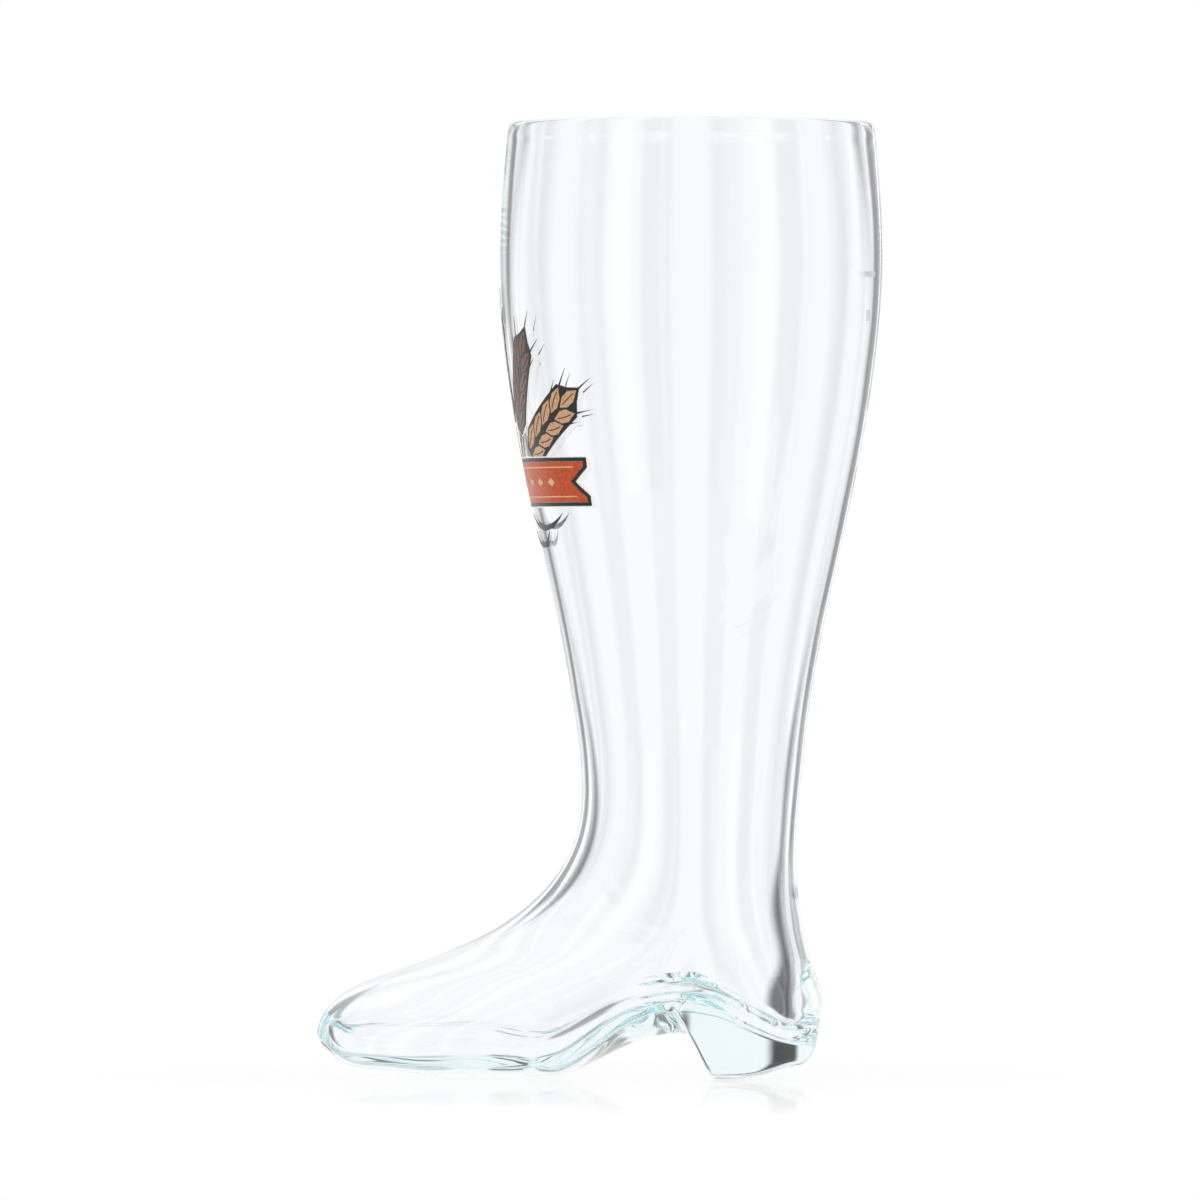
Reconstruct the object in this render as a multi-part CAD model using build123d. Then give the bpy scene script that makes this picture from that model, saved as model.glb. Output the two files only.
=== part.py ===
from build123d import *
import math
import os

# Beer boot glass: one blown glass body with inks fired onto its leg.
# Millimetres, +Z up. The toe points along -X, and the boot is even about the XZ plane.
# The origin lies on the standing surface, under the middle of the boot's outer box.

# Round leg: outer radius at each station, and the rise from one station to the next
ANKLE_RADIUS = 38.3
SHIN_RADIUS = 41.6
CALF_RADIUS = 55.9
KNEE_RADIUS = 64.2
BULGE_RADIUS = 66.9
RIM_RADIUS = 64.0
ANKLE_TO_SHIN = 28.0
SHIN_TO_CALF = 70.0
CALF_TO_KNEE = 48.0
KNEE_TO_BULGE = 38.0
BULGE_TO_RIM = 46.0

# Rounded lip: how far down the rounding starts, and how far its arc would crown above the flat top
RIM_ROUND = 1.6
RIM_FLAT = 0.2

# Front line of the foot, from the toe tip up to the ankle: rises between its stations,
# setbacks from the toe tip, and reaches ahead of the leg's axis
TOE_REACH = 131.4
TOE_HEIGHT = 13.7
TOE_TO_CAP = 10.3
CAP_SETBACK = 3.8
CAP_TO_CREST = 9.5
CREST_SETBACK = 16.8
CREST_TO_VAMP = 11.0
VAMP_REACH = 84.4
VAMP_TO_INSTEP = 12.5
INSTEP_REACH = 61.0
INSTEP_TO_THROAT = 19.0
THROAT_REACH = 43.8
THROAT_TO_ANKLE = 28.0

# Back line of the foot, from the heel up: rises between its stations,
# and reaches behind the leg's axis
HEEL_REACH = 45.2
HEEL_HEIGHT = 20.0
HEEL_TO_RIDGE = 6.0
RIDGE_REACH = 46.2
RIDGE_TO_FLARE = 10.0
FLARE_REACH = 43.4
FLARE_TO_COUNTER = 19.0
COUNTER_REACH = 38.7
COUNTER_TO_TENDON = 23.0
TENDON_REACH = 36.4

# Plan of the foot: half widths, and their places along X from the leg's axis
BALL_HALF_WIDTH = 42.5
BALL_PLACE = -66.0
WAIST_HALF_WIDTH = 32.5
WAIST_PLACE = -6.0
HEEL_HALF_WIDTH = 35.5
HEEL_FRONT_PLACE = 8.0
HEEL_REAR_PLACE = 16.0
UPPER_HALF_WIDTH = 38.6
THROAT_HALF_WIDTH = 37.8

# Shape factors of the plan: how full the ends are, and how the vamp narrows to its crest
TOE_FULLNESS = 2.4
HEEL_FULLNESS = 2.3
VAMP_NARROWING = 0.5

# Underside along the middle line. The toe's runs go back from the toe tip, the arch's
# runs go ahead from the heel breast, and the heel's setbacks go ahead from its back.
# The pads dip PAD_DEPTH below the floor before they are ground flat at it.
PAD_DEPTH = 0.8
TOE_CURL_RUN = 7.4
TOE_CURL_HEIGHT = 6.5
TOE_SPRING_RUN = 14.0
TOE_SPRING_HEIGHT = 2.5
TREAD_FRONT_RUN = 16.0
TREAD_FRONT_HEIGHT = 0.4
TREAD_REAR_RUN = 10.0
TREAD_REAR_HEIGHT = 0.2
ARCH_FOOT_RUN = 12.0
ARCH_FOOT_HEIGHT = 3.5
ARCH_RISE_RUN = 14.0
ARCH_RISE_HEIGHT = 9.5
ARCH_CROWN_RUN = 11.0
ARCH_CROWN_HEIGHT = 14.2
ARCH_HEIGHT = 15.2
BREAST_PLACE = -1.0
BREAST_LEAN = 8.0
HEEL_PAD_RUN = 15.0
HEEL_LIFT_SETBACK = 10.2
HEEL_LIFT_HEIGHT = 3.6
HEEL_CURL_SETBACK = 3.2
HEEL_CURL_HEIGHT = 7.6
HEEL_EDGE_HEIGHT = 13.7

# Roundness across the underside and across the floor inside
TREAD_CROSS_RADIUS = 320.0
WAIST_CROSS_RADIUS = 56.0
HEEL_CROSS_RADIUS = 220.0
INSIDE_CROSS_RADIUS = 90.0

# Glass thickness
RIM_WALL = 4.2
BULGE_WALL = 3.0
KNEE_WALL = 2.5
CALF_WALL = 2.5
SHIN_WALL = 2.7
ANKLE_WALL = 3.2
HEEL_BACK_WALL = 5.0
VAMP_WALL = 2.8
TOE_WALL = 4.5
FOOT_SIDE_WALL = 3.6
TREAD_FLOOR = 6.0
ARCH_FLOOR = 9.0
HEEL_FLOOR = 14.0
HEEL_REAR_FLOOR = 9.0

# Inks: thickness of a film, the gap that keeps each film off what lies under it, and the gap
# between neighbours. The ground ink is the lower layer. Black and the colours lie side by side on it.
INK_THICKNESS = 0.14
INK_CLEARANCE = 0.12
INK_GAP = 0.15
GROUND_LAYER, UPPER_LAYER = 0, 1

# Print on the front of the leg: a sheaf of barley ears fanned out above a ribbon,
# with scrolls below it. The ears' leans are from upright, to both sides.
SHEAF_BELOW_RIM = 131.0
INNER_EAR_LEAN = 28.0
OUTER_EAR_LEAN = 56.0
EAR_START = 27.0
EAR_MARGIN = 1.0
GRAIN_PAIRS = 4
GRAIN_LENGTH = 10.4
GRAIN_WIDTH = 4.2
GRAIN_STEP = 7.4
GRAIN_SPREAD = 3.4
GRAIN_TILT = 24.0
AWNED_GRAINS = 5
AWN_LENGTH = 8.0
AWN_WIDTH = 0.9
STEM_LENGTH = 22.0
STEM_WIDTH = 1.8
STEM_GAP = 1.2
RIBBON_ABOVE_SHEAF = 5.0
RIBBON_HEIGHT = 14.0
RIBBON_HALF_ANGLE = 50.0
RIBBON_NOTCH = 7.0
RIBBON_TAIL_SHARE = 0.8
RIBBON_OUTLINE = 1.4
GROUND_MARGIN = 0.4
SCROLL_GAP = 2.0
SCROLL_ASIDE = 19.0
SCROLL_LENGTH = 30.0
SCROLL_BEND = 6.0
SCROLL_WIDTH = 1.8
SCROLL_STEP = 6.0
SCROLL_SHRINK = 0.65
PRINT_HALF_ANGLE = 75.0

# Fill line near the back of the leg
FILL_BELOW_RIM = 53.5
FILL_ANGLE = 21.5
FILL_LENGTH = 9.5
FILL_WIDTH = 1.8

# How finely the smooth forms are drawn, and how far cutting tools reach past what they cut
OUTLINE_STEPS = 24
LEG_SECTION_STEP = 8.0
SOLE_SECTION_STEP = 4.0
SLOPE_STEP = 0.5
OVERLAP = 6.0
TOOL_DEPTH = 30.0
RIM_TOOL_MARGIN = 0.15

CAP_HEIGHT = TOE_HEIGHT + TOE_TO_CAP
CREST_HEIGHT = CAP_HEIGHT + CAP_TO_CREST
VAMP_HEIGHT = CREST_HEIGHT + CREST_TO_VAMP
INSTEP_HEIGHT = VAMP_HEIGHT + VAMP_TO_INSTEP
THROAT_HEIGHT = INSTEP_HEIGHT + INSTEP_TO_THROAT
ANKLE_HEIGHT = THROAT_HEIGHT + THROAT_TO_ANKLE
SHIN_HEIGHT = ANKLE_HEIGHT + ANKLE_TO_SHIN
CALF_HEIGHT = SHIN_HEIGHT + SHIN_TO_CALF
KNEE_HEIGHT = CALF_HEIGHT + CALF_TO_KNEE
BULGE_HEIGHT = KNEE_HEIGHT + KNEE_TO_BULGE
BOOT_HEIGHT = BULGE_HEIGHT + BULGE_TO_RIM
RIDGE_HEIGHT = HEEL_HEIGHT + HEEL_TO_RIDGE
FLARE_HEIGHT = RIDGE_HEIGHT + RIDGE_TO_FLARE
COUNTER_HEIGHT = FLARE_HEIGHT + FLARE_TO_COUNTER
TENDON_HEIGHT = COUNTER_HEIGHT + COUNTER_TO_TENDON
AXIS_PLACE = (TOE_REACH - BULGE_RADIUS) / 2


def smooth_curve(points):
    """The natural cubic spline through points, as a function of their first number."""
    points = sorted(points)
    xs = [x for x, y in points]
    ys = [y for x, y in points]
    last = len(xs) - 1
    gaps = [xs[i + 1] - xs[i] for i in range(last)]
    slopes = [(ys[i + 1] - ys[i]) / gaps[i] for i in range(last)]
    share = [0.0] * last
    rest = [0.0] * last
    for i in range(1, last):
        pivot = 2 * (gaps[i - 1] + gaps[i]) - gaps[i - 1] * share[i - 1]
        share[i] = gaps[i] / pivot
        rest[i] = (6 * (slopes[i] - slopes[i - 1]) - gaps[i - 1] * rest[i - 1]) / pivot
    bend = [0.0] * (last + 1)
    for i in range(last - 1, 0, -1):
        bend[i] = rest[i] - share[i] * bend[i + 1]

    def value(x):
        i = 0
        while i < last - 1 and x > xs[i + 1]:
            i += 1
        t = x - xs[i]
        start = slopes[i] - gaps[i] * (2 * bend[i] + bend[i + 1]) / 6
        change = (bend[i + 1] - bend[i]) / (6 * gaps[i])
        return ys[i] + t * (start + t * (bend[i] / 2 + t * change))

    return value


def fade(value, low, high):
    """0 below low, 1 above high, and an even S between them."""
    t = min(1.0, max(0.0, (value - low) / (high - low)))
    return t * t * (3 - 2 * t)


class Skin:
    """One side of the glass: its side lines and half widths, as functions of height."""

    def __init__(self, leg, front, back, side, widths):
        self.leg = smooth_curve(leg)
        self.front = smooth_curve(front + leg)
        self.back = smooth_curve(back + leg)
        self.side = smooth_curve(side + leg)
        self.ball, self.waist, self.heel = widths

    def reach(self, line, z):
        return self.leg(z) if z >= SHIN_HEIGHT else line(z)

    def plan_width(self, x, ball_place, front, back):
        """Half width of the sole's outline at x."""
        if x < ball_place:
            run = (ball_place - x) / (ball_place - front)
            return self.ball * math.sqrt(max(0.0, 1 - run**TOE_FULLNESS))
        if x > HEEL_REAR_PLACE:
            run = (x - HEEL_REAR_PLACE) / (back - HEEL_REAR_PLACE)
            return self.heel * math.sqrt(max(0.0, 1 - run**HEEL_FULLNESS))
        if x < WAIST_PLACE:
            return self.ball + (self.waist - self.ball) * fade(x, ball_place, WAIST_PLACE)
        return self.waist + (self.heel - self.waist) * fade(x, WAIST_PLACE, HEEL_FRONT_PLACE)

    def half_outline(self, z, steps):
        """Points of the +Y half of the outline at a height, from its back to its front."""
        front = -self.reach(self.front, z)
        back = self.reach(self.back, z)
        half = self.reach(self.side, z)
        roundness = fade(z, TOE_HEIGHT, INSTEP_HEIGHT)
        ball_place = BALL_PLACE * (1 - roundness)
        narrowing = VAMP_NARROWING * fade(z, TOE_HEIGHT, CREST_HEIGHT)
        narrowing *= 1 - fade(z, VAMP_HEIGHT, ANKLE_HEIGHT)
        points = []
        for i in range(steps + 1):
            x = (back + front) / 2 + (back - front) / 2 * math.cos(math.pi * i / steps)
            run = x / back if x > 0 else x / front
            round_width = half * math.sqrt(max(0.0, 1 - run * run))
            width = round_width
            if roundness < 1:
                sole_width = self.plan_width(x, ball_place, front, back)
                width += (sole_width - round_width) * (1 - roundness)
            if x < 0:
                width *= math.sqrt(1 - narrowing * run * run)
            points.append((x, width))
        points[0] = (back, 0.0)
        points[-1] = (front, 0.0)
        return points


def inset(line, height, wall):
    """The point wall inside a side line at a height, square to the line."""
    rise = 2 * SLOPE_STEP
    slope = (line(height + SLOPE_STEP) - line(height - SLOPE_STEP)) / rise
    length = math.hypot(slope, 1.0)
    return (height + wall * slope / length, line(height) - wall / length)


LEG_STATIONS = [
    (ANKLE_HEIGHT, ANKLE_RADIUS, ANKLE_WALL),
    (SHIN_HEIGHT, SHIN_RADIUS, SHIN_WALL),
    (CALF_HEIGHT, CALF_RADIUS, CALF_WALL),
    (KNEE_HEIGHT, KNEE_RADIUS, KNEE_WALL),
    (BULGE_HEIGHT, BULGE_RADIUS, BULGE_WALL),
    (BOOT_HEIGHT, RIM_RADIUS, RIM_WALL),
]

outside = Skin(
    leg=[(height, radius) for height, radius, wall in LEG_STATIONS],
    front=[
        (-OVERLAP, TOE_REACH),
        (TOE_HEIGHT, TOE_REACH),
        (CAP_HEIGHT, TOE_REACH - CAP_SETBACK),
        (CREST_HEIGHT, TOE_REACH - CREST_SETBACK),
        (VAMP_HEIGHT, VAMP_REACH),
        (INSTEP_HEIGHT, INSTEP_REACH),
        (THROAT_HEIGHT, THROAT_REACH),
    ],
    back=[
        (-OVERLAP, HEEL_REACH),
        (HEEL_HEIGHT, HEEL_REACH),
        (RIDGE_HEIGHT, RIDGE_REACH),
        (FLARE_HEIGHT, FLARE_REACH),
        (COUNTER_HEIGHT, COUNTER_REACH),
        (TENDON_HEIGHT, TENDON_REACH),
    ],
    side=[
        (-OVERLAP, UPPER_HALF_WIDTH),
        (VAMP_HEIGHT, UPPER_HALF_WIDTH),
        (THROAT_HEIGHT, THROAT_HALF_WIDTH),
    ],
    widths=(BALL_HALF_WIDTH, WAIST_HALF_WIDTH, HEEL_HALF_WIDTH),
)

inside = Skin(
    leg=[(height, radius - wall) for height, radius, wall in LEG_STATIONS],
    front=[
        (-OVERLAP, TOE_REACH - TOE_WALL),
        (TOE_HEIGHT, TOE_REACH - TOE_WALL),
        inset(outside.front, CREST_HEIGHT, VAMP_WALL),
        inset(outside.front, VAMP_HEIGHT, VAMP_WALL),
        inset(outside.front, INSTEP_HEIGHT, VAMP_WALL),
        inset(outside.front, THROAT_HEIGHT, VAMP_WALL),
    ],
    back=[
        (-OVERLAP, HEEL_REACH - HEEL_BACK_WALL),
        (HEEL_HEIGHT, HEEL_REACH - HEEL_BACK_WALL),
        inset(outside.back, FLARE_HEIGHT, HEEL_BACK_WALL),
        inset(outside.back, COUNTER_HEIGHT, HEEL_BACK_WALL),
        inset(outside.back, TENDON_HEIGHT, HEEL_BACK_WALL),
    ],
    side=[
        (-OVERLAP, UPPER_HALF_WIDTH - FOOT_SIDE_WALL),
        (VAMP_HEIGHT, UPPER_HALF_WIDTH - FOOT_SIDE_WALL),
        (THROAT_HEIGHT, THROAT_HALF_WIDTH - FOOT_SIDE_WALL),
    ],
    widths=(
        BALL_HALF_WIDTH - FOOT_SIDE_WALL,
        WAIST_HALF_WIDTH - FOOT_SIDE_WALL,
        HEEL_HALF_WIDTH - FOOT_SIDE_WALL,
    ),
)

# Places of the underside's stations along X
TOE_CURL_PLACE = -TOE_REACH + TOE_CURL_RUN
TOE_SPRING_PLACE = TOE_CURL_PLACE + TOE_SPRING_RUN
TREAD_FRONT_PLACE = TOE_SPRING_PLACE + TREAD_FRONT_RUN
ARCH_CROWN_PLACE = BREAST_PLACE - ARCH_CROWN_RUN
ARCH_RISE_PLACE = ARCH_CROWN_PLACE - ARCH_RISE_RUN
ARCH_FOOT_PLACE = ARCH_RISE_PLACE - ARCH_FOOT_RUN
TREAD_REAR_PLACE = ARCH_FOOT_PLACE - TREAD_REAR_RUN
TREAD_PLACE = (TREAD_FRONT_PLACE + TREAD_REAR_PLACE) / 2
BREAST_FOOT_PLACE = BREAST_PLACE + BREAST_LEAN
HEEL_PAD_PLACE = BREAST_FOOT_PLACE + HEEL_PAD_RUN
HEEL_LIFT_PLACE = HEEL_REACH - HEEL_LIFT_SETBACK
HEEL_CURL_PLACE = HEEL_REACH - HEEL_CURL_SETBACK

FOREFOOT_LINE = [
    (-TOE_REACH, TOE_HEIGHT),
    (TOE_CURL_PLACE, TOE_CURL_HEIGHT),
    (TOE_SPRING_PLACE, TOE_SPRING_HEIGHT),
    (TREAD_FRONT_PLACE, TREAD_FRONT_HEIGHT),
    (TREAD_PLACE, -PAD_DEPTH),
    (TREAD_REAR_PLACE, TREAD_REAR_HEIGHT),
    (ARCH_FOOT_PLACE, ARCH_FOOT_HEIGHT),
    (ARCH_RISE_PLACE, ARCH_RISE_HEIGHT),
    (ARCH_CROWN_PLACE, ARCH_CROWN_HEIGHT),
    (BREAST_PLACE, ARCH_HEIGHT),
    (BREAST_FOOT_PLACE + OVERLAP, ARCH_HEIGHT),
]
HEEL_LINE = [
    (BREAST_PLACE - OVERLAP, -PAD_DEPTH),
    (BREAST_FOOT_PLACE, -PAD_DEPTH),
    (HEEL_PAD_PLACE, 0.0),
    (HEEL_LIFT_PLACE, HEEL_LIFT_HEIGHT),
    (HEEL_CURL_PLACE, HEEL_CURL_HEIGHT),
    (HEEL_REACH, HEEL_EDGE_HEIGHT),
]
INSIDE_LINE = [
    (-TOE_REACH, TOE_HEIGHT + TREAD_FLOOR),
    (TOE_CURL_PLACE, TOE_CURL_HEIGHT + TREAD_FLOOR),
    (TOE_SPRING_PLACE, TOE_SPRING_HEIGHT + TREAD_FLOOR),
    (TREAD_FRONT_PLACE, TREAD_FRONT_HEIGHT + TREAD_FLOOR),
    (TREAD_PLACE, TREAD_FLOOR),
    (TREAD_REAR_PLACE, TREAD_REAR_HEIGHT + TREAD_FLOOR),
    (ARCH_RISE_PLACE, ARCH_RISE_HEIGHT + ARCH_FLOOR),
    (ARCH_CROWN_PLACE, ARCH_CROWN_HEIGHT + ARCH_FLOOR),
    (BREAST_PLACE, ARCH_HEIGHT + ARCH_FLOOR),
    (HEEL_PAD_PLACE, HEEL_FLOOR),
    (HEEL_LIFT_PLACE, HEEL_LIFT_HEIGHT + HEEL_REAR_FLOOR),
    (HEEL_REACH, HEEL_EDGE_HEIGHT + HEEL_REAR_FLOOR),
]


def section(skin, z):
    """The closed outline of one skin at a height."""
    half = skin.half_outline(z, OUTLINE_STEPS)
    steps = [i / OUTLINE_STEPS for i in range(OUTLINE_STEPS + 1)]
    right = [(x, y, z) for x, y in half]
    left = [(x, -y, z) for x, y in reversed(half)]
    speed = math.pi / math.sin(math.pi / OUTLINE_STEPS)
    back, front = (0, speed * half[1][1], 0), (0, -speed * half[-2][1], 0)
    tangents = [back, front], [front, back]
    return Wire(
        [
            Edge.make_spline(points, tangents=ends, parameters=steps, scale=False)
            for points, ends in zip([right, left], tangents)
        ]
    )


def section_heights(low):
    """Heights of the sections, close together where the foot changes fast."""
    foot = [
        low,
        TOE_HEIGHT / 2,
        TOE_HEIGHT,
        CAP_HEIGHT,
        (CAP_HEIGHT + CREST_HEIGHT) / 2,
        CREST_HEIGHT,
        (CREST_HEIGHT + VAMP_HEIGHT) / 2,
        VAMP_HEIGHT,
        (VAMP_HEIGHT + INSTEP_HEIGHT) / 2,
        INSTEP_HEIGHT,
        (INSTEP_HEIGHT + THROAT_HEIGHT) / 2,
        THROAT_HEIGHT,
        (THROAT_HEIGHT + ANKLE_HEIGHT) / 2,
    ]
    count = math.ceil((BOOT_HEIGHT - ANKLE_HEIGHT) / LEG_SECTION_STEP)
    step = (BOOT_HEIGHT - ANKLE_HEIGHT) / count
    return foot + [ANKLE_HEIGHT + step * i for i in range(count + 1)]


def upper_form(skin, low):
    """The boot's form from the rim down to a flat base, before its underside is shaped."""
    return Solid.make_loft([section(skin, z) for z in section_heights(low)])


def space_below(line, cross_radius, half):
    """The space under a surface that follows a line along X and curves up to both sides."""
    curve = smooth_curve(line)
    start = line[0][0] - OVERLAP
    length = line[-1][0] + OVERLAP - start
    count = math.ceil(length / SOLE_SECTION_STEP)
    sections = []
    for i in range(count + 1):
        x = start + length * i / count
        lift = half * half / (2 * cross_radius(x))
        top = curve(x)
        left, right = (x, -half, top + lift), (x, half, top + lift)
        low_left, low_right = (x, -half, -TOOL_DEPTH), (x, half, -TOOL_DEPTH)
        sections.append(
            Wire(
                [
                    Edge.make_bezier(left, (x, 0, top - lift), right),
                    Edge.make_line(right, low_right),
                    Edge.make_line(low_right, low_left),
                    Edge.make_line(low_left, left),
                ]
            )
        )
    return Solid.make_loft(sections)


def forefoot_cross_radius(x):
    tread, waist = 1 / TREAD_CROSS_RADIUS, 1 / WAIST_CROSS_RADIUS
    return 1 / (tread + (waist - tread) * fade(x, TREAD_REAR_PLACE, ARCH_CROWN_PLACE))


def face_of(points):
    return make_face(Polyline(*points, close=True))


def heel_zone(half):
    """Everything behind the leaning front face of the heel."""
    top = ARCH_HEIGHT + TOOL_DEPTH
    lean = BREAST_LEAN / ARCH_HEIGHT
    far = HEEL_REACH + TOOL_DEPTH
    outline = [
        (BREAST_PLACE + lean * (ARCH_HEIGHT - top), top),
        (BREAST_PLACE + lean * (ARCH_HEIGHT + TOOL_DEPTH), -TOOL_DEPTH),
        (far, -TOOL_DEPTH),
        (far, top),
    ]
    side = Plane.XZ * face_of(outline)
    return extrude(side, amount=half + OVERLAP, both=True)


def rim_tool():
    """A ring that leaves the edges of the rim rounded where it is cut away."""
    low, high = BOOT_HEIGHT - RIM_ROUND, BOOT_HEIGHT + OVERLAP
    outer = outside.leg(low) + RIM_TOOL_MARGIN
    inner = inside.leg(low) - RIM_TOOL_MARGIN
    crown = ((outer + inner) / 2, BOOT_HEIGHT + RIM_FLAT)
    lip = ThreePointArc((inner, low), crown, (outer, low))
    rest = Polyline(
        (outer, low),
        (outer + OVERLAP, low),
        (outer + OVERLAP, high),
        (inner - OVERLAP, high),
        (inner - OVERLAP, low),
        (inner, low),
    )
    return revolve(Plane.XZ * make_face([lip, rest]), Axis.Z)


def boot_glass():
    half = max(BALL_HALF_WIDTH, HEEL_HALF_WIDTH) + OVERLAP
    zone = heel_zone(half)
    forefoot_space = space_below(FOREFOOT_LINE, forefoot_cross_radius, half) - zone
    heel_space = space_below(HEEL_LINE, lambda x: HEEL_CROSS_RADIUS, half) & zone
    inside_space = space_below(INSIDE_LINE, lambda x: INSIDE_CROSS_RADIUS, half)
    ground = Pos(0, 0, -TOOL_DEPTH) * Box(4 * TOE_REACH, 4 * half, 2 * TOOL_DEPTH)
    body = Part() + upper_form(outside, -OVERLAP)
    body = body - forefoot_space - heel_space - ground
    cavity = Part() + upper_form(inside, 0.0)
    cavity = cavity - inside_space
    return body - cavity - rim_tool()


# Places of the print
SHEAF_HEIGHT = BOOT_HEIGHT - SHEAF_BELOW_RIM
RIBBON_BELOW_RIM = SHEAF_BELOW_RIM - RIBBON_ABOVE_SHEAF
RIBBON_MIDDLE = BOOT_HEIGHT - RIBBON_BELOW_RIM
RIBBON_MARGIN = RIBBON_OUTLINE + GROUND_MARGIN
SHEAF_FOOT = RIBBON_MIDDLE + RIBBON_HEIGHT / 2 + RIBBON_MARGIN + INK_CLEARANCE
SCROLL_TOP = RIBBON_MIDDLE - RIBBON_HEIGHT / 2 - RIBBON_MARGIN - SCROLL_GAP
TIP_GRAIN_PLACE = GRAIN_PAIRS * GRAIN_STEP + GRAIN_LENGTH / 3
EAR_LENGTH = TIP_GRAIN_PLACE + GRAIN_LENGTH / 2
SHEAF_TOP = SHEAF_HEIGHT + EAR_START + EAR_LENGTH + AWN_LENGTH + OVERLAP


def leg_line(gap, low, high):
    """The leg's own line between two heights, a gap outside it. Between two stations it is one cubic,
    so the handles of its curve follow from four even points on it."""
    ends = [low] + [z for z, radius, wall in LEG_STATIONS if low < z < high] + [high]
    edges = []
    for start, end in zip(ends, ends[1:]):
        rise = (end - start) / 3
        a, b, c, d = [outside.leg(start + i * rise) + gap for i in range(4)]
        first = (-5 * a + 18 * b - 9 * c + 2 * d) / 6
        second = (2 * a - 9 * b + 18 * c - 5 * d) / 6
        edges.append(Bezier((a, start), (first, start + rise), (second, end - rise), (d, end)))
    return edges


def ink_band(layer, low, high, half_angle, spare=0.0):
    """One layer of ink on the leg between two heights, even about the front. A band that cuts
    through the layer is thicker by a spare amount on both faces."""
    gap = INK_CLEARANCE + layer * (INK_THICKNESS + INK_CLEARANCE)
    near = leg_line(gap - spare, low, high)
    far = leg_line(gap + INK_THICKNESS + spare, low, high)
    bottom, top = Line(near[0] @ 0, far[0] @ 0), Line(near[-1] @ 1, far[-1] @ 1)
    outline = near + far + [bottom, top]
    band = revolve(Plane.XZ * make_face(outline), Axis.Z, revolution_arc=2 * half_angle)
    return Rot(0, 0, 180 - half_angle) * band


def on_leg(angle, height):
    """The plane against the leg at an angle from its front, seen from outside."""
    turn = math.radians(angle)
    ahead = Vector(-math.cos(turn), -math.sin(turn), 0)
    right = Vector(math.sin(turn), -math.cos(turn), 0)
    middle = ahead * outside.leg(height) + Vector(0, 0, height)
    return Plane(origin=middle, x_dir=right, z_dir=ahead)


def films(band, plane, flat):
    """The pieces of a band of ink that lie under a flat outline."""
    return (band & extrude(plane * flat, amount=OVERLAP, both=True)).solids()


def placed(points, turn, right, up):
    """Points turned clockwise and then moved."""
    c, s = math.cos(math.radians(turn)), math.sin(math.radians(turn))
    return [(right + x * c + y * s, up - x * s + y * c) for x, y in points]


def mirrored(half):
    """A closed outline from the points of its right half, from the foot up."""
    return half + [(-x, y) for x, y in reversed(half) if x > 0]


def grain_places():
    """Turn, place across and place along an ear for each of its grains."""
    places = [(0.0, 0.0, TIP_GRAIN_PLACE)]
    for i in reversed(range(GRAIN_PAIRS)):
        up = GRAIN_LENGTH / 2 + i * GRAIN_STEP
        places += [(side * GRAIN_TILT, side * GRAIN_SPREAD, up) for side in (1, -1)]
    return places


def grain(place, margin=0.0):
    """A grain with pointed ends, grown by a margin. A point grows twice as far as a side."""
    shoulder = GRAIN_LENGTH / 6
    tip, side = GRAIN_LENGTH / 2 + 2 * margin, GRAIN_WIDTH / 2 + margin
    half = [(0, -tip), (side, -shoulder), (side, shoulder), (0, tip)]
    return face_of(placed(mirrored(half), *place))


def awn(place):
    base, tip = GRAIN_LENGTH / 3, GRAIN_LENGTH / 2 + AWN_LENGTH
    return face_of(placed([(-AWN_WIDTH / 2, base), (AWN_WIDTH / 2, base), (0, tip)], *place))


def ear_outline(margin):
    """The outline around an ear's grains."""
    tilt = math.radians(GRAIN_TILT)
    slim = GRAIN_WIDTH / 2 + margin
    wide = GRAIN_SPREAD + GRAIN_LENGTH / 6 * math.sin(tilt) + GRAIN_WIDTH / 2 * math.cos(tilt) + margin
    half = [
        (slim, -margin),
        (wide, GRAIN_LENGTH / 2),
        (wide, TIP_GRAIN_PLACE - margin),
        (slim, TIP_GRAIN_PLACE + GRAIN_LENGTH / 4),
        (margin / 2, EAR_LENGTH + margin),
    ]
    return face_of(mirrored(half))


def on_sheaf(lean, distance):
    """The plane against the leg at a distance from the sheaf's foot along a lean."""
    turn = math.radians(lean)
    height = SHEAF_HEIGHT + distance * math.cos(turn)
    aside = distance * math.sin(turn) / outside.leg(height)
    return on_leg(math.degrees(aside), height) * Rot(0, 0, -lean)


def ear_films(layer, lean, flats):
    """Flat outlines of one ear, laid on the leg. They are drawn from the ear's foot up."""
    band = ink_band(layer, SHEAF_FOOT, SHEAF_TOP, PRINT_HALF_ANGLE)
    plane = on_sheaf(lean, EAR_START + EAR_LENGTH / 2)
    drop = Pos(0, -EAR_LENGTH / 2, 0)
    return [film for flat in flats for film in films(band, plane, drop * flat)]


def ear_colour(lean):
    return ear_films(UPPER_LAYER, lean, [grain(place) for place in grain_places()])


def ear_black(lean):
    flat = ear_outline(EAR_MARGIN)
    for place in grain_places()[:AWNED_GRAINS]:
        flat = flat + awn(place)
    for place in grain_places():
        flat = flat - grain(place, INK_GAP)
    return ear_films(UPPER_LAYER, lean, [flat])


def ear_ground(lean):
    return ear_films(GROUND_LAYER, lean, [ear_outline(EAR_MARGIN + GROUND_MARGIN)])


def stem(lean):
    band = ink_band(UPPER_LAYER, SHEAF_FOOT, SHEAF_TOP, PRINT_HALF_ANGLE)
    length = STEM_LENGTH - STEM_GAP
    plane = on_sheaf(lean, EAR_START - EAR_MARGIN - STEM_GAP - length / 2)
    return films(band, plane, Rectangle(STEM_WIDTH, length))


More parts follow.
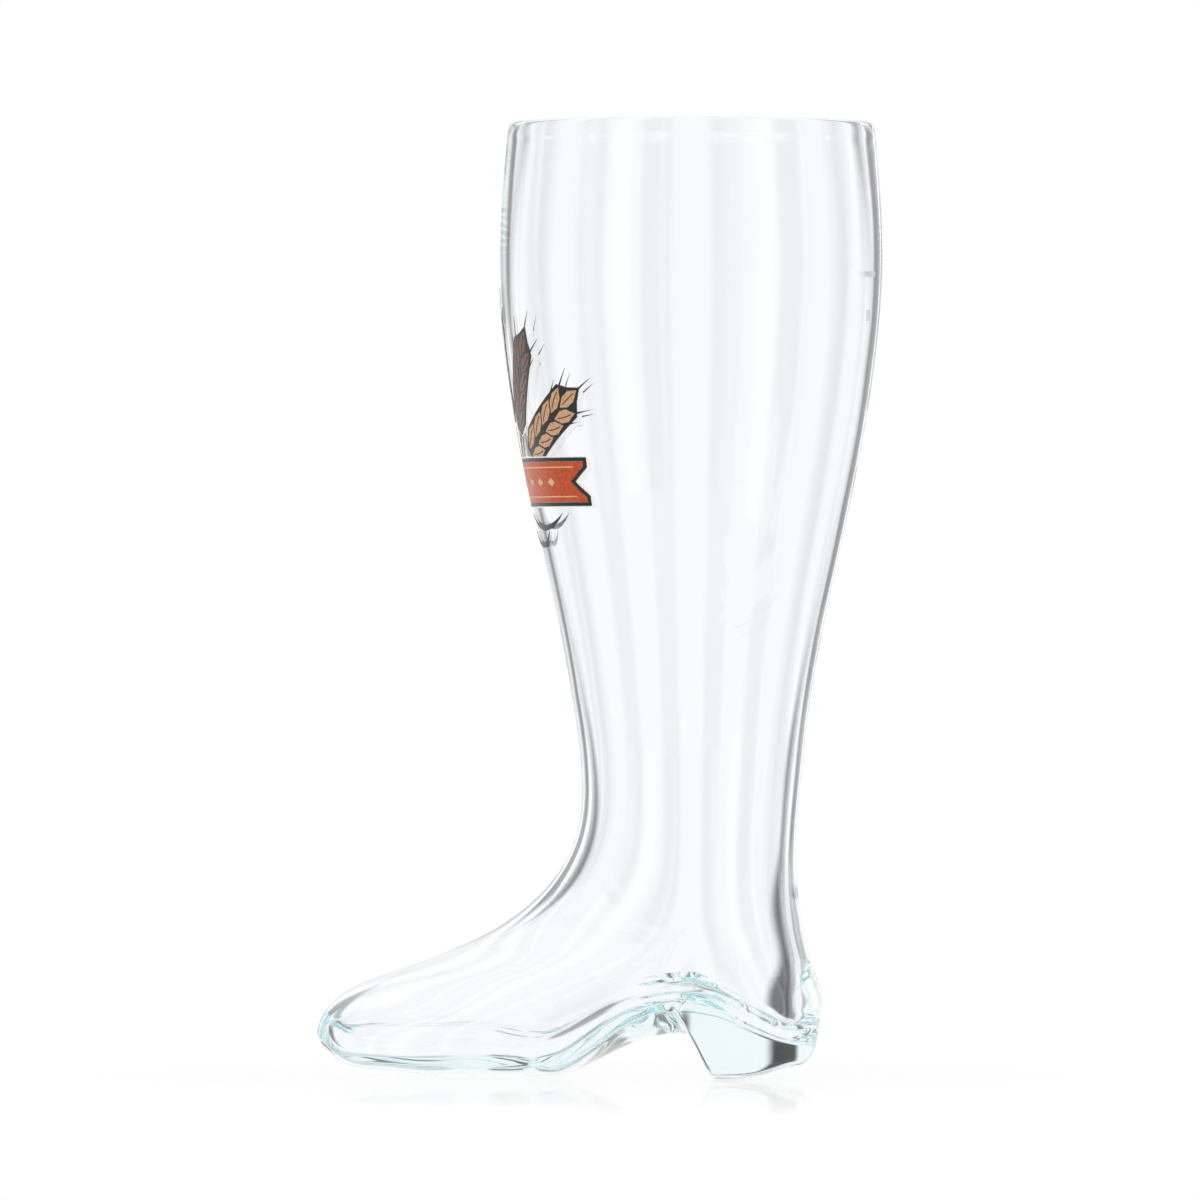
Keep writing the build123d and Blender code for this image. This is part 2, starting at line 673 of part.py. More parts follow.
def ribbon(layer, margin, spare=0.0):
    """The ribbon with a notch in each end, grown by an even margin."""
    half_height = RIBBON_HEIGHT / 2 + margin
    half_angle = RIBBON_HALF_ANGLE + math.degrees(margin / outside.leg(RIBBON_MIDDLE))
    band = ink_band(layer, RIBBON_MIDDLE - half_height, RIBBON_MIDDLE + half_height, half_angle, spare)
    opening = RIBBON_TAIL_SHARE * RIBBON_HEIGHT / 2
    depth = RIBBON_NOTCH + margin - margin * math.hypot(RIBBON_NOTCH, opening) / opening
    spread = (depth + OVERLAP) * opening / RIBBON_NOTCH
    for side in (1, -1):
        notch = [(-side * depth, 0), (side * OVERLAP, spread), (side * OVERLAP, -spread)]
        plane = on_leg(side * half_angle, RIBBON_MIDDLE)
        band = band - extrude(plane * face_of(notch), amount=OVERLAP, both=True)
    return band


def ribbon_frame():
    """The black line around the ribbon."""
    return ribbon(UPPER_LAYER, RIBBON_OUTLINE) - ribbon(UPPER_LAYER, INK_GAP, INK_CLEARANCE)


def scrolls():
    """Two rows of hanging strokes below the ribbon."""
    pieces = []
    low = SCROLL_TOP - SCROLL_STEP - SCROLL_BEND - OVERLAP
    band = ink_band(UPPER_LAYER, low, SCROLL_TOP + INK_CLEARANCE, PRINT_HALF_ANGLE)
    for row in (0, 1):
        shrink = SCROLL_SHRINK**row
        half = SCROLL_LENGTH / 2 * shrink
        ends = (-half, 0), (half, 0)
        outer = ThreePointArc(ends[0], (0, -SCROLL_BEND), ends[1])
        inner = ThreePointArc(ends[0], (0, SCROLL_WIDTH - SCROLL_BEND), ends[1])
        height = SCROLL_TOP - row * SCROLL_STEP
        for side in (1, -1):
            angle = math.degrees(side * SCROLL_ASIDE * shrink / outside.leg(height))
            pieces += films(band, on_leg(angle, height), make_face([outer, inner]))
    return pieces


def fill_mark():
    height = BOOT_HEIGHT - FILL_BELOW_RIM
    band = ink_band(GROUND_LAYER, height - FILL_WIDTH, height + FILL_WIDTH, 180)
    plane = on_leg(180 - FILL_ANGLE, height)
    return films(band, plane, Rectangle(FILL_LENGTH, FILL_WIDTH))


# The ribbon covers the stems of the outer ears
LEANS = [-OUTER_EAR_LEAN, -INNER_EAR_LEAN, 0.0, INNER_EAR_LEAN, OUTER_EAR_LEAN]
STEM_LEANS = LEANS[1:-1]


def for_leans(make, leans):
    return [piece for lean in leans for piece in make(lean)]


os.makedirs("parts", exist_ok=True)
inks = {
    "print_base": ribbon(GROUND_LAYER, RIBBON_MARGIN).solids() + for_leans(ear_ground, LEANS),
    "print_black": ribbon_frame().solids() + for_leans(ear_black, LEANS) + scrolls(),
    "print_rose": for_leans(ear_colour, [0.0]),
    "print_brown": for_leans(ear_colour, LEANS[1::2]) + for_leans(stem, STEM_LEANS),
    "print_tan": for_leans(ear_colour, LEANS[::4]),
    "print_orange": ribbon(UPPER_LAYER, 0.0).solids(),
    "fill_mark": fill_mark(),
}
axis = Pos(AXIS_PLACE, 0, 0)
export_step(axis * boot_glass(), "parts/boot_glass.step")
for name, pieces in inks.items():
    export_step(axis * Compound(children=pieces), "parts/" + name + ".step")
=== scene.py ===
import math

import bmesh
import bpy
import numpy as np
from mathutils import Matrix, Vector


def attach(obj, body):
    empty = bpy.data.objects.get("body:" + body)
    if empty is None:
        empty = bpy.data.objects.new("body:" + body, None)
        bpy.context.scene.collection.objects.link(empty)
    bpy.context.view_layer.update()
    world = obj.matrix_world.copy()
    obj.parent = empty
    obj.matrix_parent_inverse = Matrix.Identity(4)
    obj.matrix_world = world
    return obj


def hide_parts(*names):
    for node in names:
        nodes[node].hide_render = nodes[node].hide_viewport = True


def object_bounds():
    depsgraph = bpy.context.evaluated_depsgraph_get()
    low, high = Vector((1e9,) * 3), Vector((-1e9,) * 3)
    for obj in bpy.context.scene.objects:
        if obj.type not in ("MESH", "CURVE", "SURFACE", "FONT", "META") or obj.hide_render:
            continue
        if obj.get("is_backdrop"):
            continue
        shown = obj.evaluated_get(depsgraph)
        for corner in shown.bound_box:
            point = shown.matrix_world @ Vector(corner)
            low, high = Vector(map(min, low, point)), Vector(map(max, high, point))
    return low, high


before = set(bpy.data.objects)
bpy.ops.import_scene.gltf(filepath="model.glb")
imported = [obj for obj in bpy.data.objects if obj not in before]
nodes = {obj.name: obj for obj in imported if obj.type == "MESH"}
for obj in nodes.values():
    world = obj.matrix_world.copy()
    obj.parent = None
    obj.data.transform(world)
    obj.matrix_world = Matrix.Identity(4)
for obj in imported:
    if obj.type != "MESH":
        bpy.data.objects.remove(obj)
cad_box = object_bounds()
scene = bpy.context.scene

# Sizes are in millimetres from the leg's axis and the floor, as in the part's source.
# Points are moved to the part's frame and turned into metres when a mesh is made.
MM = 0.001
AXIS_PLACE = 32.25

# Leg stations: height, outer radius, wall
LEG = ((104.0, 38.3, 3.2), (132.0, 41.6, 2.7), (202.0, 55.9, 2.5),
       (250.0, 64.2, 2.5), (288.0, 66.9, 3.0), (334.0, 64.0, 4.2))
RIM_HEIGHT = LEG[-1][0]
RIM_ROUND = 1.6
SHIN_HEIGHT = LEG[1][0]
ANKLE_HEIGHT = LEG[0][0]

# Foot stations: height and reach ahead of, behind and beside the axis
TOE_HEIGHT, CREST_HEIGHT, VAMP_HEIGHT = 13.7, 33.5, 44.5
INSTEP_HEIGHT, THROAT_HEIGHT = 57.0, 76.0
BASE = -6.0
FRONT = ((BASE, 131.4), (TOE_HEIGHT, 131.4), (24.0, 127.6), (CREST_HEIGHT, 114.6),
         (VAMP_HEIGHT, 84.4), (INSTEP_HEIGHT, 61.0), (THROAT_HEIGHT, 43.8))
BACK = ((BASE, 45.2), (20.0, 45.2), (26.0, 46.2), (36.0, 43.4), (55.0, 38.7), (78.0, 36.4))
SIDE = ((BASE, 38.6), (VAMP_HEIGHT, 38.6), (THROAT_HEIGHT, 37.8))
TOE_WALL, HEEL_WALL, SIDE_WALL = 3.4, 5.0, 3.2
FRONT_WALLS = 2.8, 2.8, 3.8, 4.0
BACK_WALLS = 5.0, 4.2, 3.2

# Plan of the sole
BALL_HALF_WIDTH, BALL_PLACE = 42.5, -66.0
WAIST_HALF_WIDTH, WAIST_PLACE = 32.5, -6.0
HEEL_HALF_WIDTH, HEEL_FRONT_PLACE, HEEL_REAR_PLACE = 35.5, 8.0, 16.0
TOE_FULLNESS, HEEL_FULLNESS, VAMP_NARROWING = 2.4, 2.3, 0.5

# Underside and inside floor along the middle line: place along X and height
FOREFOOT_LINE = ((-131.4, 13.7), (-124.0, 6.5), (-110.0, 2.5), (-94.0, 0.4), (-71.0, -0.8),
                 (-48.0, 0.2), (-38.0, 3.5), (-26.0, 9.5), (-12.0, 14.2), (-1.0, 15.2),
                 (13.0, 15.2))
HEEL_LINE = ((-7.0, -0.8), (7.0, -0.8), (22.0, 0.0), (35.0, 3.6), (42.0, 7.6), (45.2, 13.7))
INSIDE_LINE = ((-131.4, 17.7), (-124.0, 10.5), (-110.0, 6.5), (-94.0, 4.4), (-71.0, 4.0),
               (-48.0, 4.6), (-26.0, 18.5), (-12.0, 23.2), (-1.0, 24.2), (22.0, 14.0),
               (35.0, 12.6), (45.2, 22.7))
TREAD_REAR_PLACE, ARCH_CROWN_PLACE = -48.0, -12.0
TREAD_CROSS_RADIUS, WAIST_CROSS_RADIUS = 320.0, 56.0
HEEL_CROSS_RADIUS, INSIDE_CROSS_RADIUS = 220.0, 90.0
BREAST_PLACE, BREAST_LEAN, ARCH_HEIGHT = -1.0, 8.0, 15.2

# Roundings of the sole's edge, the inside floor's edge and the creases at the heel's front
SOLE_ROUND, FLOOR_ROUND, EDGE_SOFTNESS = 2.4, 8.0, 1.2

# Fineness of the glass mesh. Its rings are level above the split and follow the sole below it.
# Under the foot they close in on a spine along the middle line.
HALF_COLUMNS = 160
LEG_RING_STEP, ANKLE_RING_STEP = 5.0, 2.5
FOOT_RINGS, EDGE_RINGS, SOLE_RINGS = 12, 7, 20
LIP_STEPS = 10
SPLIT_HEIGHT, SPLIT_MARGIN = 36.0, 2.0
SPINE_FRONT, SPINE_REAR = -92.0, 18.0
EDGE_REPEATS = 30
WELD_DISTANCE = 1e-7


def smooth_curve(points):
    """The natural cubic spline through points, as a function of an array."""
    xs, ys = np.array(sorted(points), float).T
    gaps = np.diff(xs)
    slopes = np.diff(ys) / gaps
    size = len(xs)
    system = np.eye(size)
    right = np.zeros(size)
    for i in range(1, size - 1):
        system[i, i - 1:i + 2] = gaps[i - 1], 2 * (gaps[i - 1] + gaps[i]), gaps[i]
        right[i] = 6 * (slopes[i] - slopes[i - 1])
    bend = np.linalg.solve(system, right)

    def value(x):
        x = np.asarray(x, float)
        i = np.clip(np.searchsorted(xs, x) - 1, 0, size - 2)
        t = x - xs[i]
        start = slopes[i] - gaps[i] * (2 * bend[i] + bend[i + 1]) / 6
        change = (bend[i + 1] - bend[i]) / (6 * gaps[i])
        return ys[i] + t * (start + t * (bend[i] / 2 + t * change))

    return value


def fade(value, low, high):
    """A smooth step from 0 at low to 1 at high."""
    t = np.clip((value - low) / (high - low), 0.0, 1.0)
    return t * t * (3 - 2 * t)


def soft_max(a, b, softness):
    """The greater of two heights, rounded where they meet."""
    return (a + b + np.sqrt((a - b) ** 2 + softness ** 2)) / 2


def soft_min(a, b, softness):
    """The lesser of two heights, rounded where they meet."""
    return -soft_max(-a, -b, softness)


def inset(line, height, wall):
    """The point wall inside a side line, square to it."""
    step = 0.5
    slope = float(line(height + step) - line(height - step)) / (2 * step)
    length = math.hypot(slope, 1.0)
    return height + wall * slope / length, float(line(height)) - wall / length


class Skin:
    """One side of the glass, as outlines at each height."""

    def __init__(self, leg, front, back, side, widths):
        self.leg = smooth_curve(leg)
        self.front = smooth_curve(front + leg)
        self.back = smooth_curve(back + leg)
        self.side = smooth_curve(side + leg)
        self.ball, self.waist, self.heel = widths

    def reach(self, line, z):
        """Reach of a side line from the axis. From the shin up all are the round leg's."""
        return np.where(z >= SHIN_HEIGHT, self.leg(z), line(z))

    def plan_width(self, x, ball_place, front, back):
        """Half width of the sole's plan at a place along X."""
        toe_run = np.clip((ball_place - x) / (ball_place - front), 0, 1)
        toe = self.ball * np.sqrt(1 - toe_run ** TOE_FULLNESS)
        heel_run = np.clip((x - HEEL_REAR_PLACE) / (back - HEEL_REAR_PLACE), 0, 1)
        heel = self.heel * np.sqrt(1 - heel_run ** HEEL_FULLNESS)
        waist = self.waist + (self.heel - self.waist) * fade(x, WAIST_PLACE, HEEL_FRONT_PLACE)
        shank_run = np.clip((x - ball_place) / np.maximum(WAIST_PLACE - ball_place, 1e-6), 0, 1)
        shank = self.ball + (self.waist - self.ball) * shank_run ** 2 * (3 - 2 * shank_run)
        width = np.where(x < WAIST_PLACE, shank, waist)
        width = np.where(x > HEEL_REAR_PLACE, heel, width)
        return np.where(x < ball_place, toe, width)

    def outline(self, turn, z):
        """Place along X and half width at a height.
        Turn runs from 0 at the back to pi at the front."""
        front, back = -self.reach(self.front, z), self.reach(self.back, z)
        half = self.reach(self.side, z)
        roundness = fade(z, TOE_HEIGHT, INSTEP_HEIGHT)
        narrowing = VAMP_NARROWING * fade(z, TOE_HEIGHT, CREST_HEIGHT)
        narrowing = narrowing * (1 - fade(z, VAMP_HEIGHT, ANKLE_HEIGHT))
        x = (back + front) / 2 + (back - front) / 2 * np.cos(turn)
        run = np.where(x > 0, x / back, x / front)
        round_width = half * np.sqrt(np.maximum(0, 1 - run ** 2))
        sole_width = self.plan_width(x, BALL_PLACE * (1 - roundness), front, back)
        width = round_width + (sole_width - round_width) * (1 - roundness)
        return x, np.where(x < 0, width * np.sqrt(1 - narrowing * run ** 2), width)


outside = Skin(
    leg=tuple((z, r) for z, r, wall in LEG), front=FRONT, back=BACK, side=SIDE,
    widths=(BALL_HALF_WIDTH, WAIST_HALF_WIDTH, HEEL_HALF_WIDTH))
inside = Skin(
    leg=tuple((z, r - wall) for z, r, wall in LEG),
    front=tuple((z, r - TOE_WALL) for z, r in FRONT[:2])
    + tuple(inset(outside.front, z, wall) for (z, r), wall in zip(FRONT[3:], FRONT_WALLS)),
    back=tuple((z, r - HEEL_WALL) for z, r in BACK[:2])
    + tuple(inset(outside.back, z, wall) for (z, r), wall in zip(BACK[3:], BACK_WALLS)),
    side=tuple((z, r - SIDE_WALL) for z, r in SIDE),
    widths=(BALL_HALF_WIDTH - SIDE_WALL, WAIST_HALF_WIDTH - SIDE_WALL, HEEL_HALF_WIDTH - SIDE_WALL))

forefoot_curve = smooth_curve(FOREFOOT_LINE)
heel_curve = smooth_curve(HEEL_LINE)
inside_curve = smooth_curve(INSIDE_LINE)


def underside(x, y):
    """Height of the sole, the arch and the heel from below, flat where they stand."""
    tread, waist = 1 / TREAD_CROSS_RADIUS, 1 / WAIST_CROSS_RADIUS
    bend = tread + (waist - tread) * fade(x, TREAD_REAR_PLACE, ARCH_CROWN_PLACE)
    forefoot = forefoot_curve(np.minimum(x, FOREFOOT_LINE[-1][0])) + y ** 2 * bend / 2
    heel = heel_curve(np.maximum(x, HEEL_LINE[0][0])) + y ** 2 / (2 * HEEL_CROSS_RADIUS)
    breast = ARCH_HEIGHT - (x - BREAST_PLACE) * ARCH_HEIGHT / BREAST_LEAN
    surface = soft_max(heel, soft_min(forefoot, breast, EDGE_SOFTNESS), EDGE_SOFTNESS)
    return np.maximum(0.0, surface)


def floor_inside(x, y):
    """Height of the floor inside the foot."""
    return inside_curve(x) + y ** 2 / (2 * INSIDE_CROSS_RADIUS)


# Columns of a ring: from the back along one side to the front, and along the other side again
turns = np.pi * np.arange(HALF_COLUMNS + 1) / HALF_COLUMNS
turns = np.concatenate([turns, turns[-2:0:-1]])
sides = np.where(np.arange(2 * HALF_COLUMNS) <= HALF_COLUMNS, 1.0, -1.0)


def ring(skin, z):
    """One ring of points around a skin. The height may differ from column to column."""
    z = np.broadcast_to(np.asarray(z, float), turns.shape)
    x, y = skin.outline(turns, z)
    return np.stack([x, y * sides, z], axis=1)


def skin_rings(skin, surface, rounding):
    """Rings down one skin from below its lip, round its bottom edge, and in to the middle line."""
    heights = np.concatenate([
        np.arange(RIM_HEIGHT - RIM_ROUND, ANKLE_HEIGHT, -LEG_RING_STEP),
        np.arange(ANKLE_HEIGHT, SPLIT_HEIGHT, -ANKLE_RING_STEP), [SPLIT_HEIGHT]])
    rings = [ring(skin, z) for z in heights]

    # The height of the bottom edge depends on where it lies, so it is found by repeats.
    foot = np.full(turns.shape, SPLIT_HEIGHT)
    for repeat in range(EDGE_REPEATS):
        edge = ring(skin, foot)
        foot = surface(edge[:, 0], edge[:, 1]) + rounding
        foot = np.minimum(foot, SPLIT_HEIGHT - SPLIT_MARGIN)
    for k in range(1, FOOT_RINGS + 1):
        rings.append(ring(skin, SPLIT_HEIGHT + (foot - SPLIT_HEIGHT) * k / FOOT_RINGS))

    # The bottom edge's rounding
    edge = rings[-1]
    spine = np.stack([np.clip(edge[:, 0], SPINE_FRONT, SPINE_REAR), 0 * foot], axis=1)
    inward = spine - edge[:, :2]
    length = np.linalg.norm(inward, axis=1)[:, None]
    for k in range(1, EDGE_RINGS + 1):
        angle = math.pi / 2 * k / EDGE_RINGS
        run = rounding * (1 - math.cos(angle)) / length
        flat = edge[:, :2] + inward * run
        lift = rounding * (1 - math.sin(angle))
        rings.append(np.column_stack([flat, surface(flat[:, 0], flat[:, 1]) + lift]))

    # The bottom itself
    start = rounding / length
    for k in range(1, SOLE_RINGS + 1):
        flat = edge[:, :2] + inward * (start + (1 - start) * k / SOLE_RINGS)
        rings.append(np.column_stack([flat, surface(flat[:, 0], flat[:, 1])]))
    return rings


def lip_rings():
    """Rings over the rounded lip, from the outside to the inside."""
    low = RIM_HEIGHT - RIM_ROUND
    outer, inner = float(outside.leg(low)), float(inside.leg(low))
    rings = []
    for k in range(1, LIP_STEPS):
        angle = math.pi * k / LIP_STEPS
        radius = (outer + inner) / 2 + (outer - inner) / 2 * math.cos(angle)
        x, y = radius * np.cos(turns), radius * np.sin(turns) * sides
        z = low + RIM_ROUND * math.sin(angle)
        rings.append(np.column_stack([x, y, 0 * turns + z]))
    return rings


def mesh_object(name, vertices, faces):
    """A mesh piece from points in millimetres from the leg's axis."""
    data = bpy.data.meshes.new(name)
    points = [((x + AXIS_PLACE) * MM, y * MM, z * MM) for x, y, z in vertices]
    data.from_pydata(points, [], faces)
    work = bmesh.new()
    work.from_mesh(data)
    bmesh.ops.remove_doubles(work, verts=work.verts, dist=WELD_DISTANCE)
    bmesh.ops.recalc_face_normals(work, faces=work.faces)
    work.to_mesh(data)
    work.free()
    data.polygons.foreach_set("use_smooth", [True] * len(data.polygons))
    piece = bpy.data.objects.new(name, data)
    scene.collection.objects.link(piece)
    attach(piece, "root")
    return piece


def glass_piece():
    """The whole glass as one closed skin: up its outside, over the lip and down its inside."""
    outer = skin_rings(outside, underside, SOLE_ROUND)
    inner = skin_rings(inside, floor_inside, FLOOR_ROUND)
    rings = outer[::-1] + lip_rings() + inner
    columns = len(turns)
    faces = []
    for r in range(len(rings) - 1):
        here, ahead = r * columns, (r + 1) * columns
        for c in range(columns):
            n = (c + 1) % columns
            faces.append((here + c, here + n, ahead + n, ahead + c))
    piece = mesh_object("glass_body", np.concatenate(rings), faces)
    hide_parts("boot_glass")
    return piece


# The print's ears, ribbon and fill line, as in the part's source. FILM_TOP is the top of its films,
# measured from the glass.
SHEAF_HEIGHT, EAR_START, EAR_LENGTH = 203.0, 27.0, 38.27
EAR_LEANS = (-56.0, -28.0, 0.0, 28.0, 56.0)
GRAIN_PAIRS, GRAIN_LENGTH, GRAIN_STEP, GRAIN_SPREAD, GRAIN_TILT = 4, 10.4, 7.4, 3.4, 24.0
RIBBON_MIDDLE, RIBBON_HALF_ANGLE = 208.0, 50.0
FILL_HEIGHT, FILL_ANGLE = 280.5, 158.5
FILM_TOP = 0.52

# Fine lines that only the scene has, laid just off the films or the glass
LINE_GAP, LINE_THICKNESS = 0.02, 0.05
CREASE_WIDTH, CREASE_BOW, CREASE_REACH = 0.34, 0.35, 0.33
PIN_LINE_WIDTH, PIN_LINE_RISE, PIN_LINE_INSET, PIN_LINE_STEPS = 0.45, 5.1, 4.5, 48
LOZENGES_EACH_SIDE, LOZENGE_SPACING = 4, 8.0
LOZENGE_HALF_LENGTH, LOZENGE_HALF_HEIGHT = 2.3, 1.5
TALLY_DROP, TALLY_GAP, TICK_HEIGHT, TICK_SPACING = 14.5, 0.12, 3.4, 1.9
TICK_WIDTH, SERIF_REACH, SERIF_WIDTH = 0.55, 0.55, 0.3


def turned(u, v, angle):
    """A flat point turned clockwise by an angle in degrees."""
    c, s = math.cos(math.radians(angle)), math.sin(math.radians(angle))
    return u * c + v * s, v * c - u * s


def wrap(angle, height):
    """Lays flat points around the leg from an angle off its front and a height."""
    radius = float(outside.leg(height))

    def place(u, v, gap):
        turn = math.radians(angle) + u / radius
        reach = float(outside.leg(height + v)) + gap
        return -reach * math.cos(turn), -reach * math.sin(turn), height + v

    return place


def project(angle, height, lean):
    """Lays flat points on the leg as the films of an ear are laid, straight off a tangent plane."""
    turn = math.radians(angle)

    def place(u, v, gap):
        right, up = turned(u, v, lean)
        z = height + up
        reach = math.sqrt((float(outside.leg(z)) + gap) ** 2 - right ** 2)
        x = -reach * math.cos(turn) + right * math.sin(turn)
        y = -reach * math.sin(turn) - right * math.cos(turn)
        return x, y, z

    return place


def stroke(points, width):
    """Pairs of flat points on both sides of a line of even width."""
    pairs = []
    for i, (u, v) in enumerate(points):
        before, after = points[max(i - 1, 0)], points[min(i + 1, len(points) - 1)]
        along = np.array([after[0] - before[0], after[1] - before[1]])
        du, dv = along / np.linalg.norm(along) * width / 2
        pairs.append(((u - dv, v + du), (u + dv, v - du)))
    return pairs


def line_piece(name, strips, low):
    """Thin closed strips. Each is a place function with its pairs of flat points."""
    vertices, faces = [], []
    for place, pairs in strips:
        first = len(vertices)
        for left, right in pairs:
            for gap in (low, low + LINE_THICKNESS):
                vertices.append(place(*left, gap))
                vertices.append(place(*right, gap))
        count = len(pairs)
        for i in range(count - 1):
            a, b = first + 4 * i, first + 4 * i + 4
            for j, k in ((0, 1), (1, 3), (3, 2), (2, 0)):
                faces.append((a + j, a + k, b + k, b + j))
        last = first + 4 * (count - 1)
        faces.append((first, first + 2, first + 3, first + 1))
        faces.append((last, last + 1, last + 3, last + 2))
    piece = mesh_object(name, vertices, faces)
    return piece


def ear_place(lean):
    """The middle of an ear on the leg."""
    distance = EAR_START + EAR_LENGTH / 2
    height = SHEAF_HEIGHT + distance * math.cos(math.radians(lean))
    aside = distance * math.sin(math.radians(lean)) / float(outside.leg(height))
    return project(math.degrees(aside), height, lean)


def grain_places():
    """Turn, place across and place along an ear for each grain."""
    places = [(0.0, 0.0, GRAIN_PAIRS * GRAIN_STEP + GRAIN_LENGTH / 3)]
    for i in range(GRAIN_PAIRS):
        up = GRAIN_LENGTH / 2 + i * GRAIN_STEP
        places += [(side * GRAIN_TILT, side * GRAIN_SPREAD, up) for side in (1, -1)]
    return places


def grain_creases():
    """The crease along each grain, bowed a little away from the ear's middle."""
    strips = []
    for lean in EAR_LEANS:
        place = ear_place(lean)
        for turn, across, along in grain_places():
            bow = math.copysign(CREASE_BOW, turn) if turn else 0.0
            points = []
            for t in (-1.0, -0.5, 0.0, 0.5, 1.0):
                u, v = turned(bow * (1 - t * t), CREASE_REACH * GRAIN_LENGTH * t, turn)
                points.append((u + across, v + along - EAR_LENGTH / 2))
            strips.append((place, stroke(points, CREASE_WIDTH)))
    return line_piece("grain_creases", strips, FILM_TOP + LINE_GAP)


def ribbon_lines():
    """Two pin lines along the ribbon, and a row of lozenges between them."""
    place = wrap(0.0, RIBBON_MIDDLE)
    half = math.radians(RIBBON_HALF_ANGLE) * float(outside.leg(RIBBON_MIDDLE))
    ends = half - PIN_LINE_INSET
    strips = []
    for side in (1, -1):
        points = [(-ends + 2 * ends * k / PIN_LINE_STEPS, side * PIN_LINE_RISE)
                  for k in range(PIN_LINE_STEPS + 1)]
        strips.append((place, stroke(points, PIN_LINE_WIDTH)))
    for k in range(-LOZENGES_EACH_SIDE, LOZENGES_EACH_SIDE + 1):
        u = k * LOZENGE_SPACING
        left, right = (u - LOZENGE_HALF_LENGTH, 0), (u + LOZENGE_HALF_LENGTH, 0)
        top, bottom = (u, LOZENGE_HALF_HEIGHT), (u, -LOZENGE_HALF_HEIGHT)
        strips.append((place, [(left, left), (top, bottom), (right, right)]))
    return line_piece("ribbon_lines", strips, FILM_TOP + LINE_GAP)


def capacity_tally():
    """Two upright ticks below the fill line, for two litres. They read the same when mirrored."""
    place = wrap(FILL_ANGLE, FILL_HEIGHT - TALLY_DROP)
    top, bottom = TICK_HEIGHT / 2, -TICK_HEIGHT / 2
    strips = []
    for u in (-TICK_SPACING / 2, TICK_SPACING / 2):
        strips.append((place, stroke([(u, bottom), (u, top)], TICK_WIDTH)))
        for v in (bottom, top):
            serif = [(u - SERIF_REACH, v), (u + SERIF_REACH, v)]
            strips.append((place, stroke(serif, SERIF_WIDTH)))
    return line_piece("capacity_tally", strips, TALLY_GAP)


# Materials
INK_GLOSS_SPREAD = 0.08


def new_material(name):
    """A material, with its node tree, its shader and its output."""
    material = bpy.data.materials.new(name)
    material.use_nodes = True
    tree = material.node_tree
    return material, tree, tree.nodes["Principled BSDF"], tree.nodes["Material Output"]


def glass_material():
    """Clear soda glass with a faint green depth and the slow waves of blown glass."""
    material, tree, shader, output = new_material("clear_glass")
    shader.inputs["Base Color"].default_value = (1.0, 1.0, 1.0, 1.0)
    shader.inputs["Roughness"].default_value = 0.0
    shader.inputs["IOR"].default_value = 1.5
    shader.inputs["Transmission Weight"].default_value = 1.0
    depth = tree.nodes.new("ShaderNodeVolumeAbsorption")
    depth.inputs["Color"].default_value = (0.80, 0.94, 0.94, 1.0)
    depth.inputs["Density"].default_value = 7.5
    tree.links.new(depth.outputs["Volume"], output.inputs["Volume"])
    place = tree.nodes.new("ShaderNodeTexCoord")
    waves = tree.nodes.new("ShaderNodeTexNoise")
    waves.inputs["Scale"].default_value = 28.0
    waves.inputs["Detail"].default_value = 1.0
    tree.links.new(place.outputs["Object"], waves.inputs["Vector"])
    bump = tree.nodes.new("ShaderNodeBump")
    bump.inputs["Strength"].default_value = 0.06
    bump.inputs["Distance"].default_value = 0.002
    tree.links.new(waves.outputs["Fac"], bump.inputs["Height"])
    tree.links.new(bump.outputs["Normal"], shader.inputs["Normal"])
    return material


def ink_material(name, colour, shade, roughness):
    """Fired enamel: a fine mottle between two tones, and a slightly grainy gloss."""
    material, tree, shader, output = new_material(name)
    shader.inputs["Specular IOR Level"].default_value = 0.25
    place = tree.nodes.new("ShaderNodeTexCoord")
    mottle = tree.nodes.new("ShaderNodeTexNoise")
    mottle.inputs["Scale"].default_value = 900.0
    mottle.inputs["Detail"].default_value = 4.0
    tree.links.new(place.outputs["Object"], mottle.inputs["Vector"])
    ramp = tree.nodes.new("ShaderNodeValToRGB")
    ramp.color_ramp.elements[0].position = 0.35
    ramp.color_ramp.elements[0].color = (*shade, 1.0)
    ramp.color_ramp.elements[1].position = 0.6
    ramp.color_ramp.elements[1].color = (*colour, 1.0)
    tree.links.new(mottle.outputs["Fac"], ramp.inputs["Fac"])
    tree.links.new(ramp.outputs["Color"], shader.inputs["Base Color"])
    gloss = tree.nodes.new("ShaderNodeMapRange")
    gloss.inputs["To Min"].default_value = roughness - INK_GLOSS_SPREAD
    gloss.inputs["To Max"].default_value = roughness + INK_GLOSS_SPREAD
    tree.links.new(mottle.outputs["Fac"], gloss.inputs["Value"])
    tree.links.new(gloss.outputs["Result"], shader.inputs["Roughness"])
    bump = tree.nodes.new("ShaderNodeBump")
    bump.inputs["Strength"].default_value = 0.15
    bump.inputs["Distance"].default_value = 0.0001
    tree.links.new(mottle.outputs["Fac"], bump.inputs["Height"])
    tree.links.new(bump.outputs["Normal"], shader.inputs["Normal"])
    return material


def paint(piece, material):
    """Gives a piece this one material."""
    piece.data.materials.clear()
    piece.data.materials.append(material)


# Stage, in metres: a pale round floor, whose gloss fades outwards
FLOOR_RADIUS, FLOOR_STEPS, FLOOR_DROP = 0.55, 96, 0.00005
FLOOR_GLOW = 0.79
FLOOR_GREY = (0.28, 0.28, 0.28, 1.0)
FLOOR_GLOSS, FLOOR_ROUGHNESS = 0.32, 0.05
GLOSS_FADE_START, GLOSS_FADE_END = 0.1, FLOOR_RADIUS - 0.05

